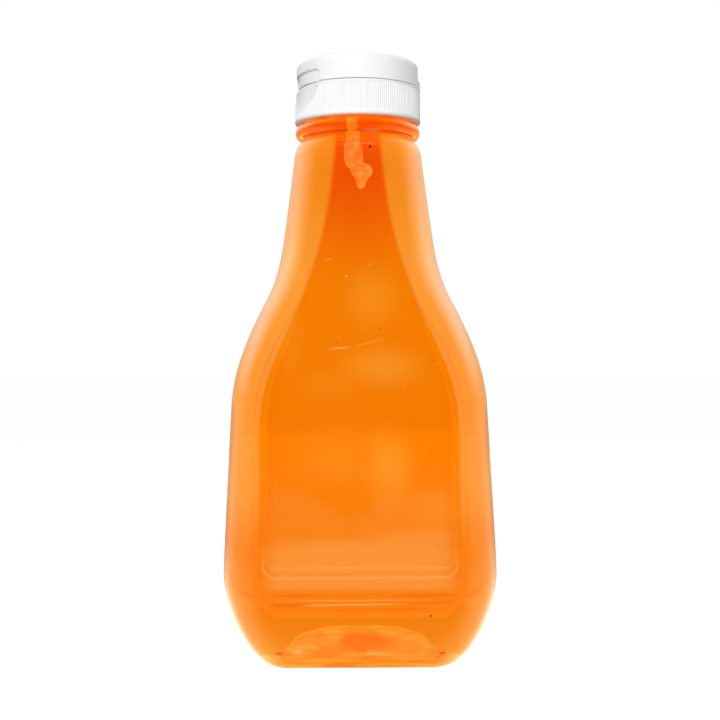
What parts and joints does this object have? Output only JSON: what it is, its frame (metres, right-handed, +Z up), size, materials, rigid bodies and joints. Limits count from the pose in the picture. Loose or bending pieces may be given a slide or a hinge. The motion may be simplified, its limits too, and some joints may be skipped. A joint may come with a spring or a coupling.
{
  "type": "honey squeeze bottle",
  "caption": "Clear plastic squeeze bottle with broad flat faces, a waisted shoulder and a transfer ring, full of honey and shut with a white flip-top cap.",
  "frame": {"origin": "middle of the foot, on the surface that the bottle stands on", "axes": "+Z up from the foot to the cap; +X to the bottle's right as seen from its front; -Y out of the broad front face"},
  "size_m": [0.0882, 0.051, 0.1915],
  "materials": {
    "clear_plastic": "clear blown plastic, glossy, tinted orange by the honey behind it",
    "honey": "clear orange honey",
    "white_plastic": "white moulded plastic, satin gloss, with fine upright ribs on the skirt"
  },
  "bodies": {
    "root": {"bottle": "clear_plastic", "honey": "honey", "cap_skirt": "white_plastic", "cap_lid": "white_plastic"}
  },
  "joints": []
}
